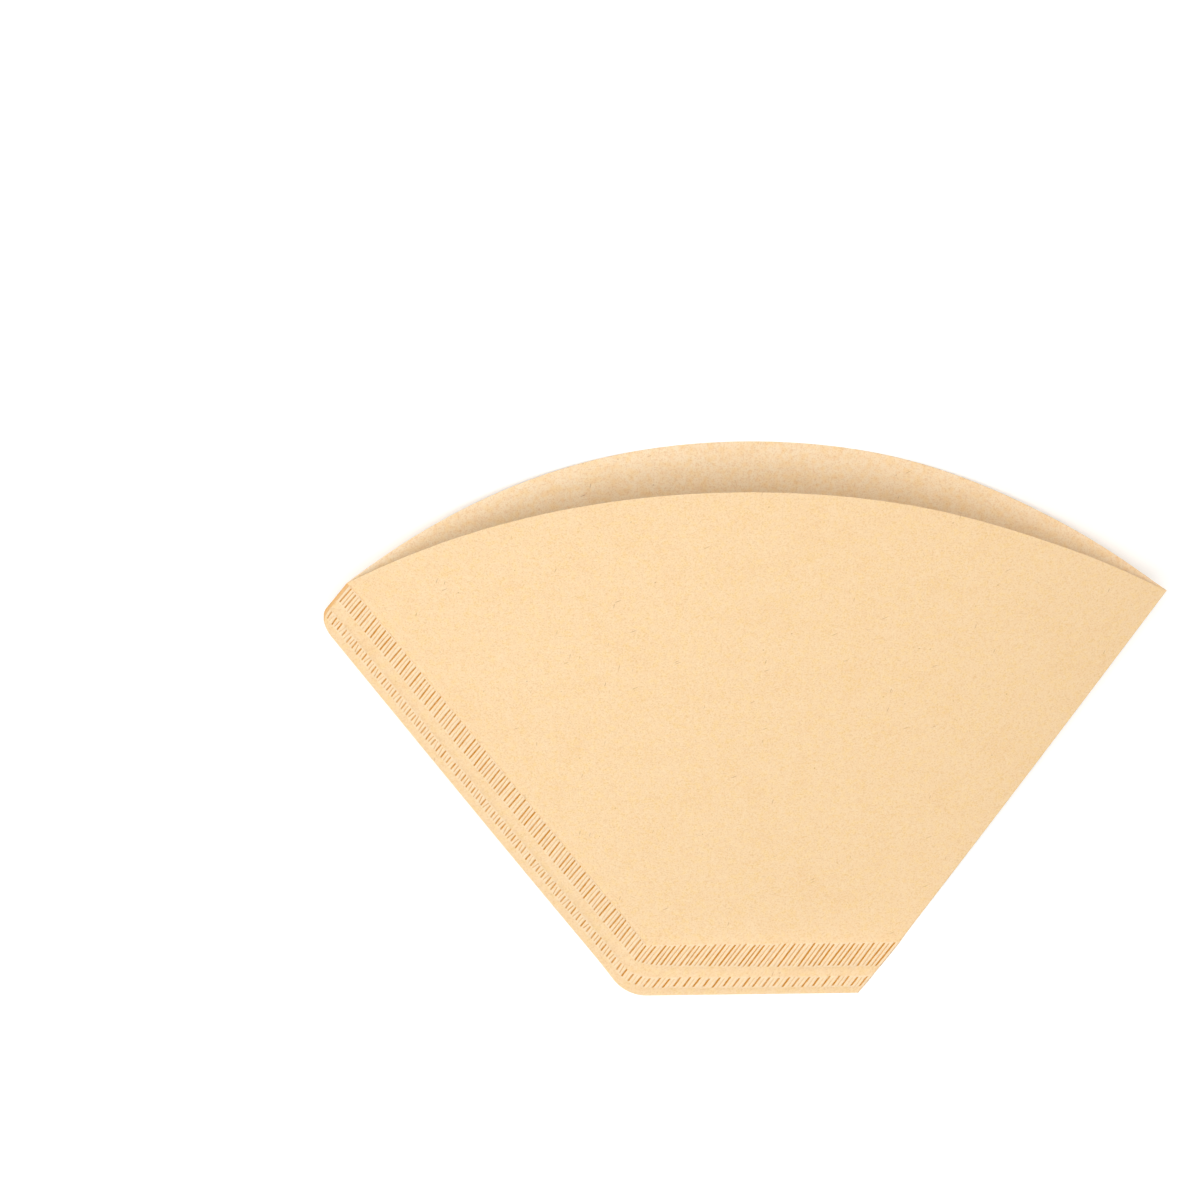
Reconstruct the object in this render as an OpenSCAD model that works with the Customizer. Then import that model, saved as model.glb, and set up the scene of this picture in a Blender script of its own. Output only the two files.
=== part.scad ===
// Cone coffee filter, lying on its back panel with its mouth a little open.
// It is one die-cut sheet of unbleached paper, folded along its right edge. The front and the back
// panel are pressed together along the slanting left edge and along the foot, by a short and a
// long row of slanted crimps, and between the seams and the fold they part and form the pocket.
// Lengths are in millimetres and angles in degrees.

/* [Sheet] */
// Length of the cut edge at the foot, from the fold to where the side edge would meet it
foot_w = 49; // [42:0.5:60]
// Length of the folded edge
fold_len = 107; // [96:0.5:125]
// Lean of the folded edge, from the line through the middle of the filter
fold_lean = 33.5; // [30:0.5:37]
// Lean of the crimped side edge, from the same line
side_lean = 34.7; // [30:0.1:38]
// Radius of the cut arc of the mouth
mouth_r = 141; // [125:1:180]
// Thickness of the paper
ply = 0.2; // [0.12:0.01:0.4]

/* [Seams] */
// Rounding of the cut corner between the side edge and the foot
corner_r = 8.4; // [4:0.2:12]
// Rounding of the side seam's upper end
end_r = 5.4; // [2:0.2:7]
// Plain border between the cut edge and the short crimps
border_w = 1.5; // [0.8:0.1:2.5]
// Width of the row of short crimps
short_row_w = 1.9; // [1.2:0.1:3]
// Plain band between the two rows
band_w = 2.4; // [1.2:0.1:4]
// Width of the row of long crimps
long_row_w = 3.5; // [2.4:0.1:5]
// Width of the foot's seam, which holds the same rows a little wider
foot_seam_w = 10.4; // [8:0.1:13]
// Distance from one pressed line to the next, square to the lines
crimp_pitch = 1.57; // [1.2:0.01:2.4]
// Height of the rib between two pressed lines
crimp_h = 0.15; // [0.05:0.01:0.3]

/* [Opening] */
// Height of the open mouth at its middle, inside
mouth_open = 28; // [10:1:44]
// Width of the back panel that lies flat, at the mouth
rest_w = 34; // [20:1:50]

/* [Hidden] */
paper_colour = "#FBDCB0";

// Slope at each side of a rib, the narrow plain line between the long crimps and the pocket, and
// how far up the pocket its walls take to leave the seam, as a share of the pocket's height.
rib_slope_w = 0.35;
pocket_line_w = 0.2;
soft_start = 0.06;
// The rows stay this little apart, for each millimetre, where the rounded end cuts them off.
row_squeeze = 0.05;
// Facets across and up each panel, and round the paper's thickness at the fold
across = 18;
along = 14;
nose_n = 3;

// The flat sheet lies with its foot on the x axis and its mouth towards +y.
fold_foot = [foot_w / 2, 0];
side_foot = [-foot_w / 2, 0];
fold_dir = [sin(fold_lean), cos(fold_lean)];
fold_out = [cos(fold_lean), -sin(fold_lean)];
side_dir = [-sin(side_lean), cos(side_lean)];
side_in = [cos(side_lean), sin(side_lean)];
fold_top = fold_foot + fold_len * fold_dir;

// Rows of the seam, as distances from the side's cut edge, each with the ribs' height there
short_d = border_w;
long_d = short_d + short_row_w + band_w;
seam_w = long_d + long_row_w + pocket_line_w;
function row(d, w) = [[d, 0], [d + rib_slope_w, crimp_h], [d + w - rib_slope_w, crimp_h], [d + w, 0]];
rows = concat([[0, 0]], row(short_d, short_row_w), row(long_d, long_row_w));

// Corners of the pocket: two at the foot's seam and two at the mouth
function mix(a, b, t) = a + (b - a) * t;
function on_side_line(d, y) = let (p = side_foot + d * side_in) p + side_dir * (y - p.y) / side_dir.y;
pocket_foot_l = on_side_line(seam_w, foot_seam_w);
pocket_foot_r = fold_foot + fold_dir * foot_seam_w / fold_dir.y;
mouth_mid = [0, fold_top.y - sqrt(mouth_r ^ 2 - fold_top.x ^ 2)];
to_mouth = pocket_foot_l - mouth_mid;
side_len = -to_mouth * side_dir + sqrt((to_mouth * side_dir) ^ 2 - to_mouth * to_mouth + mouth_r ^ 2);
mouth_l = pocket_foot_l + side_len * side_dir;
mouth_turn_l = atan2(mouth_l.x - mouth_mid.x, mouth_l.y - mouth_mid.y);
mouth_turn_r = atan2(fold_top.x - mouth_mid.x, fold_top.y - mouth_mid.y);

// A point of the flat panel: u runs from -1 at the side seam to 1 at the fold, and v from 0 at the
// foot's seam to 1 at the mouth.
function share(u) = (u + 1) / 2;
function foot_point(u) = mix(pocket_foot_l, pocket_foot_r, share(u));
function mouth_point(u) =
    let (turn = mix(mouth_turn_l, mouth_turn_r, share(u)))
    mouth_mid + mouth_r * [sin(turn), cos(turn)];
function flat_point(u, v) = mix(foot_point(u), mouth_point(u), v);

// Opening the pocket bows both panels. The seam and the fold rise from the floor by half of the
// opening, the front panel crowns above them, and the back panel stays flat along its middle.
// No length of paper changes: a bowed panel is narrower, by the chord of its arc, and a line that
// climbs reaches less far.
half_open = mouth_open / 2;
flat_share = rest_w / norm(fold_top - mouth_l);
seam_z = ply;
function rise(v) =
    half_open * (sqrt(v ^ 2 + soft_start ^ 2) - soft_start) / (sqrt(1 + soft_start ^ 2) - soft_start);
function bow(u, side) =
    side > 0 ? 2 - u ^ 2 : (max(0, abs(u) - flat_share) / (1 - flat_share)) ^ 2;
function narrowing(v) =
    let (w = norm(flat_point(1, v) - flat_point(-1, v)), turn = 4 * rise(v) / w * 180 / PI)
    v == 0 ? 1 : sin(turn) / (turn * PI / 180);
function reach(u, side) =
    sqrt(1 - (half_open * bow(u, side) / norm(mouth_point(u) - foot_point(u))) ^ 2);
function opened(u, v, side) =
    let (p = flat_point(u, v), middle = (flat_point(-1, v).x + flat_point(1, v).x) / 2)
    [middle + (p.x - middle) * narrowing(v),
     foot_seam_w + (p.y - foot_seam_w) * reach(u, side),
     seam_z + rise(v) * bow(u, side)];

// The crimps run along lines parallel to the fold, from the cut edge to the pocket. A line is named
// by its distance c from the fold, and a point on it by its distance s from the foot's level there.
function line_point(c, s) = fold_foot - c * fold_out + s * fold_dir;
function distance_c(p) = (fold_foot - p) * fold_out;
function distance_s(p) = (p - fold_foot) * fold_dir;
function s_foot(c, d) = (d + c * fold_out.y) / fold_dir.y;
function s_side(c, d) = (d - (fold_foot - c * fold_out - side_foot) * side_in) / (fold_dir * side_in);

corner_mid = on_side_line(corner_r, corner_r);
corner_c = distance_c(corner_mid);
corner_from = distance_c(corner_mid - corner_r * side_in);
corner_to = distance_c(corner_mid - [0, corner_r]);
end_c = distance_c(mouth_l);
end_mid = line_point(end_c - end_r, s_side(end_c - end_r, end_r));
end_from = distance_c(end_mid - end_r * side_in);

function arc_s(c, mid, r) = distance_s(mid) - sqrt(max(0, r ^ 2 - (c - distance_c(mid)) ^ 2));
function s_cut(c) =
    c > corner_to && c < corner_from ? arc_s(c, corner_mid, corner_r) : max(s_foot(c, 0), s_side(c, 0));
function s_outline(c) = c > end_from ? max(s_cut(c), arc_s(c, end_mid, end_r)) : s_cut(c);
function s_pocket(c) = max(s_foot(c, foot_seam_w), s_side(c, seam_w));
function s_row(c, d) =
    max(mix(s_cut(c), s_pocket(c), d / seam_w), s_outline(c) + row_squeeze * d);

// The seam is carried along by the pocket's edge beside it.
function beside(p) = max(0, min(1, (p - pocket_foot_l) * side_dir / side_len));
function seam_point(c, d, z) =
    let (p = line_point(c, s_row(c, d)), v = beside(p), from = flat_point(-1, v), to = opened(-1, v, 1))
    [p.x + to.x - from.x, p.y + to.y - from.y, to.z + z];

// Lines of the seam from its upper end to the fold: the even ones are pressed, and between them
// the odd ones carry the ribs.
lines = 2 * round(end_c / crimp_pitch);
function line_c(k) = end_c * (1 - k / lines);
function rib(k, h) = k % 2 == 1 ? h : 0;
function seam_sheet(z) = [for (r = rows) [for (k = [0:lines]) seam_point(line_c(k), r[0], rib(k, r[1]) + z)]];
function panel_sheet(side, z) =
    [for (j = [0:along]) [for (i = [0:across]) opened(2 * i / across - 1, j / along, side) + [0, 0, z]]];

// The pocket's edge, from the mouth down the side seam and along the foot's seam to the fold,
// with each point's distance from the fold
pocket_uv = concat(
    [for (j = [along:-1:0]) [-1, j / along]],
    [for (i = [1:across]) [2 * i / across - 1, 0]]
);
pocket_c = [for (p = pocket_uv) distance_c(flat_point(p[0], p[1]))];
line_cs = [for (k = [0:lines]) line_c(k)];
function pocket_edge(z) = [for (p = pocket_uv) opened(p[0], p[1], 1) + [0, 0, z]];

// Surfaces are lists of triangles. A patch fills a grid of points, and a zip joins two edges that
// have their points at other places. Both face up where the grid runs right and away. A patch's
// diagonals lean to its middle, so that no triangle lies in a corner where both panels meet.
function flipped(tris) = [for (t = tris) [t[0], t[2], t[1]]];
function patch(grid) =
    [for (j = [0:len(grid) - 2]) for (i = [0:len(grid[j]) - 2])
        let (a = grid[j][i], b = grid[j][i + 1], c = grid[j + 1][i + 1], d = grid[j + 1][i])
        each 2 * i < len(grid[j]) - 1 ? [[a, b, c], [a, c, d]] : [[a, b, d], [b, c, d]]];
function zip(near, near_c, far, far_c) =
    let (n = len(near) - 1, m = len(far) - 1)
    [for (i = 0, j = 0, step = near_c[1] >= far_c[1];
          i < n || j < m;
          i = step ? i + 1 : i,
          j = step ? j : j + 1,
          step = i < n && (j == m || near_c[i + 1] >= far_c[j + 1]))
        step ? [near[i], near[i + 1], far[j]] : [near[i], far[j + 1], far[j]]];
function fan(mid, ring) = [for (i = [0:len(ring) - 2]) [mid, ring[i], ring[i + 1]]];

// The outside: both faces of the seams and of the panels, and the cut edge
function last(list) = list[len(list) - 1];
seam_top = seam_sheet(ply);
seam_under = seam_sheet(-ply);
front_outside = panel_sheet(1, ply);
back_outside = panel_sheet(-1, -ply);
outside = concat(
    patch(seam_top),
    zip(last(seam_top), line_cs, pocket_edge(ply), pocket_c),
    patch(front_outside),
    flipped(patch(seam_under)),
    flipped(zip(last(seam_under), line_cs, pocket_edge(-ply), pocket_c)),
    flipped(patch(back_outside)),
    patch([seam_under[0], seam_top[0]])
);

// The pocket: the panels' inner faces meet along the seams and in the fold.
front_inside = panel_sheet(1, 0);
back_inside = panel_sheet(-1, 0);
inside = concat(flipped(patch(front_inside)), patch(back_inside));

// The fold: the paper turns through half a circle of its own thickness, from the foot to the mouth.
fold_line = concat(
    [for (r = rows) seam_point(0, r[0], 0)],
    [for (j = [0:along]) opened(1, j / along, 1)]
);
function round_fold(p) =
    [for (n = [0:nose_n])
        let (turn = 180 * n / nose_n - 90)
        p + (n == 0 ? [0, 0, -ply] : n == nose_n ? [0, 0, ply] : ply * [
            fold_out.x * cos(turn), fold_out.y * cos(turn), sin(turn)])];
fold_rings = [for (p = fold_line) round_fold(p)];
function turned(grid) = [for (i = [0:len(grid[0]) - 1]) [for (r = grid) r[i]]];
fold_skin = concat(
    patch(turned(fold_rings)),
    fan(fold_rings[0][0], [for (i = [1:nose_n]) fold_rings[0][i]]),
    flipped(fan(last(fold_line), last(fold_rings)))
);

// The mouth's cut edge on both panels, and the cut end of the side seam beside it
seam_end_top = [for (r = seam_top) r[0]];
seam_end_under = [for (r = seam_under) r[0]];
mouth_skin = concat(
    flipped(patch([last(front_inside), last(front_outside)])),
    flipped(patch([last(back_outside), last(back_inside)])),
    flipped(patch([seam_end_under, seam_end_top])),
    fan(last(front_inside)[0], [
        last(back_outside)[0], last(seam_end_under), last(seam_end_top), last(front_outside)[0]
    ])
);

skin = concat(outside, inside, fold_skin, mouth_skin);
corners = [for (t = skin) each t];

// The origin is on the floor, under the middle of the filter's own box.
xs = [for (p = corners) p.x];
ys = [for (p = corners) p.y];
middle = [(min(xs) + max(xs)) / 2, (min(ys) + max(ys)) / 2, 0];

module filter() {
    color(paper_colour)
    polyhedron(
        points = [for (p = corners) p - middle],
        faces = [for (i = [0:len(skin) - 1]) [3 * i, 3 * i + 2, 3 * i + 1]]
    );
}

filter();
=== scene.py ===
# %% [markdown]
# # A cone coffee filter of unbleached paper
#
# A cone filter is one die-cut sheet of thin, rough brown paper. It is folded once along one slanting
# edge, and its two panels are pressed together along the other slanting edge and along the foot. No
# glue is used: toothed rollers crimp the fibres of both panels into each other. Between the crimped
# seams and the fold the panels part, and that pocket holds the ground coffee.
#
# This lesson builds the filter in five steps: the flat sheet as it leaves the die, the rule for its
# crimps and the paper that they bruise, with painted shade in the lines and a painted highlight between
# them, the opening of the pocket, the crimps' relief, and the studio that shows it all.

import math

import bpy
import numpy as np
from mathutils import Matrix, Vector


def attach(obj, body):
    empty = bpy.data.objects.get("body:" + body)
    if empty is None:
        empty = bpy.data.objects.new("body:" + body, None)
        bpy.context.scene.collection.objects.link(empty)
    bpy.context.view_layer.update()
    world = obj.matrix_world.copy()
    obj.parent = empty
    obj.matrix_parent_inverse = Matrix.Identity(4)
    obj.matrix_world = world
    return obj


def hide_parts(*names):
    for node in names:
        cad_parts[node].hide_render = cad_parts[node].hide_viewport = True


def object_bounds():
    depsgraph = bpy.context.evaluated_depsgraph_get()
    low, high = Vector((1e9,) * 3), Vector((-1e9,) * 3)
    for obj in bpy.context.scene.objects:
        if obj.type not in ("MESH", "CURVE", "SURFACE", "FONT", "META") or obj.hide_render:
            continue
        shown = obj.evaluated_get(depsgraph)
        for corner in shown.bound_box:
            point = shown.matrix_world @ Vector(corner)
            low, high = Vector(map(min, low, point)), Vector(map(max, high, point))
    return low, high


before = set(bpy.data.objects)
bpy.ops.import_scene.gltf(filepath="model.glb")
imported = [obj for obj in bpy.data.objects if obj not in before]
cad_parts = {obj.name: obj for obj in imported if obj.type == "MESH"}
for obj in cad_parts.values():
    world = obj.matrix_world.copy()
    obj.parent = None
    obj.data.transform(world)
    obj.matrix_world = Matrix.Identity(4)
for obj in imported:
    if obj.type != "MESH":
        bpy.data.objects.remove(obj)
cad_low, cad_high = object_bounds()
MM = 0.001
print("the part's box in mm:", [round(size / MM, 1) for size in cad_high - cad_low])

# %% [markdown]
# ## Two small helpers
#
# Colours are noted as sRGB hex values, because that is how a swatch or a photograph gives them, but a
# shader calculates with linear light. One function does the conversion. Another adds a node, sets it
# and links it, so that each line of a tree below reads as one step of its recipe.

# %% Colours and nodes
def linear(hex_colour):
    """An sRGB colour such as "#FBDCB0" as linear RGBA."""
    parts = [int(hex_colour[i:i + 2], 16) / 255 for i in (1, 3, 5)]
    return [p / 12.92 if p <= 0.04045 else ((p + 0.055) / 1.055) ** 2.4 for p in parts] + [1]


def add(tree, kind, feeds=(), **settings):
    """Adds a node with its settings. feeds is a list for its first inputs, or a dict by their names:
    a number or colour is set, and a node or socket is linked. Returns the node."""
    node = tree.nodes.new(kind)
    for name, value in settings.items():
        setattr(node, name, value)
    named = {socket.name: socket for socket in reversed(node.inputs) if socket.enabled}
    for key, value in feeds.items() if isinstance(feeds, dict) else enumerate(feeds):
        socket = node.inputs[key] if isinstance(key, int) else named[key]
        if isinstance(value, bpy.types.Node):
            value = [output for output in value.outputs if output.enabled][0]
        if isinstance(value, bpy.types.NodeSocket):
            tree.links.new(value, socket)
        else:
            socket.default_value = value
    return node


MATH = "ShaderNodeMath"
RANGE = "ShaderNodeMapRange"

# %% [markdown]
# ## The camera
#
# The camera comes first, because it decides what has to be right. The filter lies on its back, so a
# view of its front looks down on it. The lens is a mild telephoto, and the camera leans a little
# towards the mouth, so that the inside of the back panel shows above the front one.

# %% Set up the camera
LENS = 85.0
SENSOR = 36.0
CAMERA_AWAY = 565.6 * MM
CAMERA_TILT = math.radians(15.01)
CAMERA_TURN = math.radians(1.57)
CAMERA_ROLL = math.radians(-1.38)
LOOKS_AT = Vector((-28.72, 26.62, 0)) * MM

back = Vector((
    math.sin(CAMERA_TURN),
    math.sin(CAMERA_TILT) * math.cos(CAMERA_TURN),
    math.cos(CAMERA_TILT) * math.cos(CAMERA_TURN),
))
level_right = Vector((0, 1, 0)).cross(back).normalized()
level_up = back.cross(level_right)
right = math.cos(CAMERA_ROLL) * level_right + math.sin(CAMERA_ROLL) * level_up

camera = bpy.data.objects.new("camera", bpy.data.cameras.new("camera"))
camera.data.lens = LENS
camera.data.sensor_width = SENSOR
camera.data.clip_start = 0.01
camera.matrix_world = (
    Matrix.Translation(LOOKS_AT + CAMERA_AWAY * back)
    @ Matrix((right, back.cross(right), back)).transposed().to_4x4()
)
bpy.context.scene.collection.objects.link(camera)
bpy.context.scene.camera = camera
print("the camera stands", round(camera.matrix_world.translation.z / MM), "mm above the floor")

# %% [markdown]
# ## The outline of the sheet
#
# The two panels have one outline. Its driving sizes are those of the part's source, in millimetres:
# the foot, the fold and its lean, the side and its lean, and the arc of the mouth. With its foot on
# the x axis and its mouth towards +y, each edge is a point and a direction.

# %% Sizes of the flat sheet
foot_w = 49.0
fold_len = 107.0
fold_lean = math.radians(33.5)
side_lean = math.radians(34.7)
mouth_r = 141.0
corner_r = 8.4
ply = 0.2

fold_foot = np.array([foot_w / 2, 0])
side_foot = np.array([-foot_w / 2, 0])
fold_dir = np.array([math.sin(fold_lean), math.cos(fold_lean)])
fold_out = np.array([math.cos(fold_lean), -math.sin(fold_lean)])
side_dir = np.array([-math.sin(side_lean), math.cos(side_lean)])
side_in = np.array([math.cos(side_lean), math.sin(side_lean)])
fold_top = fold_foot + fold_len * fold_dir
mouth_mid = np.array([0, fold_top[1] - math.sqrt(mouth_r ** 2 - fold_top[0] ** 2)])

# %% [markdown]
# ## The pocket's corners
#
# The pocket starts where the long crimps end. That is 11.3 mm above the foot's cut edge and 10 mm
# inside the side's, a touch less near the mouth.
#
# The rim is not quite the circle's arc that the die was drawn with. At the seam's upper end it runs on
# a little, outwards and up, which leaves a plain strip between the last crimp and the end cut. Towards
# the fold it lies a little lower, and its tip at the fold is drawn up. High powers keep the first and
# the last of these near their ends.

# %% Corners of the pocket
foot_seam_w = 11.3
side_seam_w = 10.1
top_seam_w = 9.55
past_arc = np.array([-0.75, 0.37])
NEAR_MOUTH = 50
NEAR_SEAM = 12
LOWER = 0.6
LOWEST_AT = 0.83
LOWER_WIDTH = 0.12
TIP_UP = 0.56
NEAR_FOLD = 40


def on_side_line(inwards, y):
    """The point at that height on the line that runs that far inside the side's cut edge."""
    p = side_foot + inwards * side_in
    return p + side_dir * (y - p[1]) / side_dir[1]


def on_mouth(p):
    """Where the line through p along the side meets the arc of the mouth."""
    to_mouth = p - mouth_mid
    along = to_mouth @ side_dir
    return p + side_dir * (math.sqrt(along ** 2 - to_mouth @ to_mouth + mouth_r ** 2) - along)


pocket_foot_l = on_side_line(side_seam_w, foot_seam_w)
pocket_foot_r = fold_foot + fold_dir * foot_seam_w / fold_dir[1]
pocket_end = on_mouth(on_side_line(top_seam_w, foot_seam_w))
side_len = float(np.linalg.norm(pocket_end - pocket_foot_l))
pocket_dir = (pocket_end - pocket_foot_l) / side_len
turn_side, turn_fold = [math.atan2(*(end - mouth_mid)) for end in (pocket_end, fold_top)]
mouth_l = pocket_end + past_arc
mouth_w = float(np.linalg.norm(fold_top - mouth_l))
print("the mouth measures", round(mouth_w, 1), "mm across, flat")

# %% [markdown]
# ## Two ways to name a point of the sheet
#
# A point of a panel is named by u, from -1 at the side seam to 1 at the fold, and v, from 0 at the
# foot seam to 1 at the mouth.
#
# A point of the seams is named by its crimp and its depth. Crimp number 0 lies beside the fold, and
# the numbers run along the foot, round the corner and up the side. The depth runs from 0 at the cut
# edge to 10 at the pocket. Edge loops laid along the crimps never cut across one.

# %% Lines across the sheet, from their distance to the fold
def panel_flat(u, v):
    """The flat place of the panel's point, and how long the paper's line through it is, foot to mouth."""
    share, up = (u[..., None] + 1) / 2, v[..., None]
    foot = pocket_foot_l + (pocket_foot_r - pocket_foot_l) * share
    turn = turn_side + (turn_fold - turn_side) * share
    mouth = mouth_mid + mouth_r * np.concatenate([np.sin(turn), np.cos(turn)], -1)
    dip = LOWER * np.exp(-((share - LOWEST_AT) / LOWER_WIDTH) ** 2)
    mouth[..., 1:] += TIP_UP * share ** NEAR_FOLD - dip
    runs_on = past_arc * (1 - share) ** NEAR_SEAM * up ** NEAR_MOUTH
    return foot + (mouth - foot) * up + runs_on, np.linalg.norm(mouth - foot, axis=-1)


def line_point(c, s):
    """The point c away from the fold that lies s up the fold's direction."""
    return fold_foot - c[..., None] * fold_out + s[..., None] * fold_dir


def from_fold(p):
    return (fold_foot - p) @ fold_out


def up_fold(p):
    return (p - fold_foot) @ fold_dir


def cut_edge(c):
    """How far up the line at c the cut edge is: the foot, the rounded corner or the side."""
    foot = c * fold_out[1] / fold_dir[1]
    side = -((line_point(c, 0 * c) - side_foot) @ side_in) / (fold_dir @ side_in)
    middle = on_side_line(corner_r, corner_r)
    arc = up_fold(middle) - np.sqrt(np.maximum(0, corner_r ** 2 - (c - from_fold(middle)) ** 2))
    rounded = (c > from_fold(middle - [0, corner_r])) & (c < from_fold(middle - corner_r * side_in))
    return np.where(rounded, arc, np.maximum(foot, side))


SIDE_POINTS = 400
pocket_side, _ = panel_flat(-np.ones(SIDE_POINTS), np.linspace(0, 1, SIDE_POINTS))


def pocket_line(c):
    """How far up the line at c the pocket starts."""
    foot = (foot_seam_w + c * fold_out[1]) / fold_dir[1]
    side = np.interp(c, from_fold(pocket_side), up_fold(pocket_side), left=-np.inf)
    return np.maximum(foot, side)


# %% [markdown]
# ## How the crimps lie
#
# Along the foot the crimps are 1.7 mm apart, and up the side they draw together a little. They start
# parallel to the fold and lean outwards more and more, by six degrees at the seam's upper end. Both
# rows run closer to the cut edge along the foot than up the side, so on the side they are moved in, by
# an amount for the cut edge and for each row's two ends. At the fold's foot the rollers drag the paper
# in by a millimetre.

# %% Where each crimp runs
FIRST_CRIMP = 0.74
FOOT_PITCH = 1.703
FOOT_CRIMPS = 25
SIDE_PITCH = 1.661
SIDE_CLOSING = 0.00147
DEPTH = 10.0
SHORT_ROW = (1.3, 3.42)
LONG_ROW = (5.22, 9.9)
MOVED_IN = [0, 0.34, 0.17, 0.74, 0]
MOVES_FROM = 15.0
MOVES_OVER = 30.0
LEANS_AT = [0, 14, 38, 137]
LEANS = [0, 0.04, 0.085, 0.11]
DRAGGED = 1.22
DRAG_FADES = 5.0
DRAG_POWER = 1.2


def crimp_start(n):
    """How far from the fold crimp number n meets the pocket. Between two crimps n is a fraction."""
    on_side = n - FOOT_CRIMPS
    corner = FIRST_CRIMP + FOOT_PITCH * FOOT_CRIMPS
    return corner + np.where(on_side < 0, FOOT_PITCH, SIDE_PITCH - SIDE_CLOSING * on_side) * on_side


def along_crimp(n, depth):
    """The flat place of a seam's point, before the upper end gets its round corner."""
    start = crimp_start(n)
    up_side = np.clip((start - MOVES_FROM) / MOVES_OVER, 0, 1)
    moved_in = np.interp(depth, [0, *SHORT_ROW, *LONG_ROW], MOVED_IN)
    share = (depth + up_side * moved_in) / DEPTH
    c = start + np.interp(start, LEANS_AT, LEANS) * (1 - share) * side_seam_w
    place = line_point(c, cut_edge(c) + (pocket_line(c) - cut_edge(c)) * share)
    place[..., 0] -= DRAGGED * np.exp(-c / DRAG_FADES) * np.clip(1 - share, 0, 1) ** DRAG_POWER
    return place


TRIED_TO = 119
TRIED_EACH = 100
tried = np.linspace(-1, TRIED_TO, (TRIED_TO + 1) * TRIED_EACH + 1)
first_n, last_n = np.interp([0, from_fold(mouth_l)], crimp_start(tried), tried)
end_corner = along_crimp(np.array(last_n), np.array(0.0))
print("the crimps are numbered from 0 to", round(last_n))

# %% [markdown]
# The seam's upper end has a round corner, wider along the side than along the end. Two of its points
# already lie on the straight edges. The rule that turns a square into a disc moves the others: it
# shortens each of the two ways from the corner's inner sides by what the other one has left.

# %% Round the upper end
ROUND_SIDE = 4.6
ROUND_END = 2.8
end_dir = (mouth_l - end_corner) / np.linalg.norm(mouth_l - end_corner)
corner_ways = np.array([-side_dir * ROUND_SIDE, end_dir * ROUND_END])


def seam_flat(n, depth):
    """The flat place of the seam's point on crimp n at that depth."""
    place = along_crimp(n, depth)
    x, y = np.moveaxis(1 - (place - end_corner) @ np.linalg.inv(corner_ways), -1, 0)
    inside = (x > 0) & (y > 0)
    x, y = np.where(inside, x, 0).clip(0, 1), np.where(inside, y, 0).clip(0, 1)
    moves = np.stack([x - x * np.sqrt(1 - y ** 2 / 2), y - y * np.sqrt(1 - x ** 2 / 2)], -1)
    return place + moves @ corner_ways


# %% [markdown]
# ## A table of points
#
# The sheet is closed: each panel has an outside and an inside, one paper's thickness apart. Every
# vertex goes into one table that also holds what the next steps need to know about it. `lift` is the
# way it lies from the middle of the two plies, in paper thicknesses. `held` is the panel's point that it
# follows when the pocket opens: its own, or for a seam's vertex the nearest one on the pocket's edge.

# %% The table of points
FACTS = ("flat", "held", "lift", "u", "v", "span", "spine", "reach", "front")
KEPT = ("crimp", "depth", "torn", "inner")
WIDTHS = {"flat": 2, "held": 2, "lift": 3}
table = {name: [] for name in FACTS + KEPT}
PAST_SEAMS = 12.0


def add_points(u, v, lift, flat=None, front=1, crimp=0, depth=PAST_SEAMS, torn=0, inner=0):
    """Adds a grid of points to the table and returns their numbers, in the same grid."""
    u, v = np.broadcast_arrays(u, v)
    held, reach = panel_flat(u, v)
    at_side, _ = panel_flat(-np.ones(u.shape), v)
    at_fold, _ = panel_flat(np.ones(u.shape), v)
    facts = {
        "flat": held if flat is None else flat, "held": held, "lift": lift, "u": u, "v": v,
        "span": np.linalg.norm(at_fold - at_side, axis=-1), "spine": (at_side + at_fold)[..., 0] / 2,
        "reach": reach, "front": front, "crimp": crimp, "depth": depth, "torn": torn, "inner": inner,
    }
    first = sum(len(part) for part in table["u"])
    for name, value in facts.items():
        width = WIDTHS.get(name, 1)
        shape = u.shape + ((width,) if width > 1 else ())
        table[name].append(np.broadcast_to(value, shape).reshape(-1, width).astype(float))
    return first + np.arange(u.size).reshape(u.shape)


# %% [markdown]
# ## Edge loops for the crimps
#
# A pressed line is less than half a millimetre wide, and between two of them the rollers leave a
# fainter one. Each gets loops of its own at its middle and shoulders. A fine even grid would need five
# times as many faces for the same edges. The seam's last half pitch has no line: the cut tore its
# fibres there.

# %% Loops along the crimps, and rows across them
PITCH = 1.62
PRESSED_W = 0.47
FAINT_W = 0.36
MARKS = [(0, PRESSED_W, (-0.5, -0.25, 0, 0.25, 0.5)), (0.5, FAINT_W, (-0.5, 0, 0.5))]
END_LINE = 0.5
TORN_MOST = 1.6
CLEAR_OF_FOLD = 0.03
CLEAR_OF_END = 0.05
loops = {
    round(n + share + at * width / PITCH, 4)
    for n in range(-1, round(last_n) + 1) for share, width, ats in MARKS for at in ats
}
inner_loops = [n for n in loops if first_n + CLEAR_OF_FOLD < n < last_n - END_LINE - CLEAR_OF_END]
loops = sorted([first_n, *inner_loops, last_n - END_LINE, last_n - END_LINE / 2, last_n], reverse=True)

CUT_LINE = 0.15
ROW_END = 0.1
rows = [0, CUT_LINE]
for low, high in (SHORT_ROW, LONG_ROW):
    rows += [low - ROW_END, low + ROW_END, *np.linspace(low, high, 5)[1:-1], high - ROW_END, high + ROW_END]
crimps, depths = np.meshgrid(loops, rows)
print(len(loops), "loops along the crimps and", len(rows), "rows across them")

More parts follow.
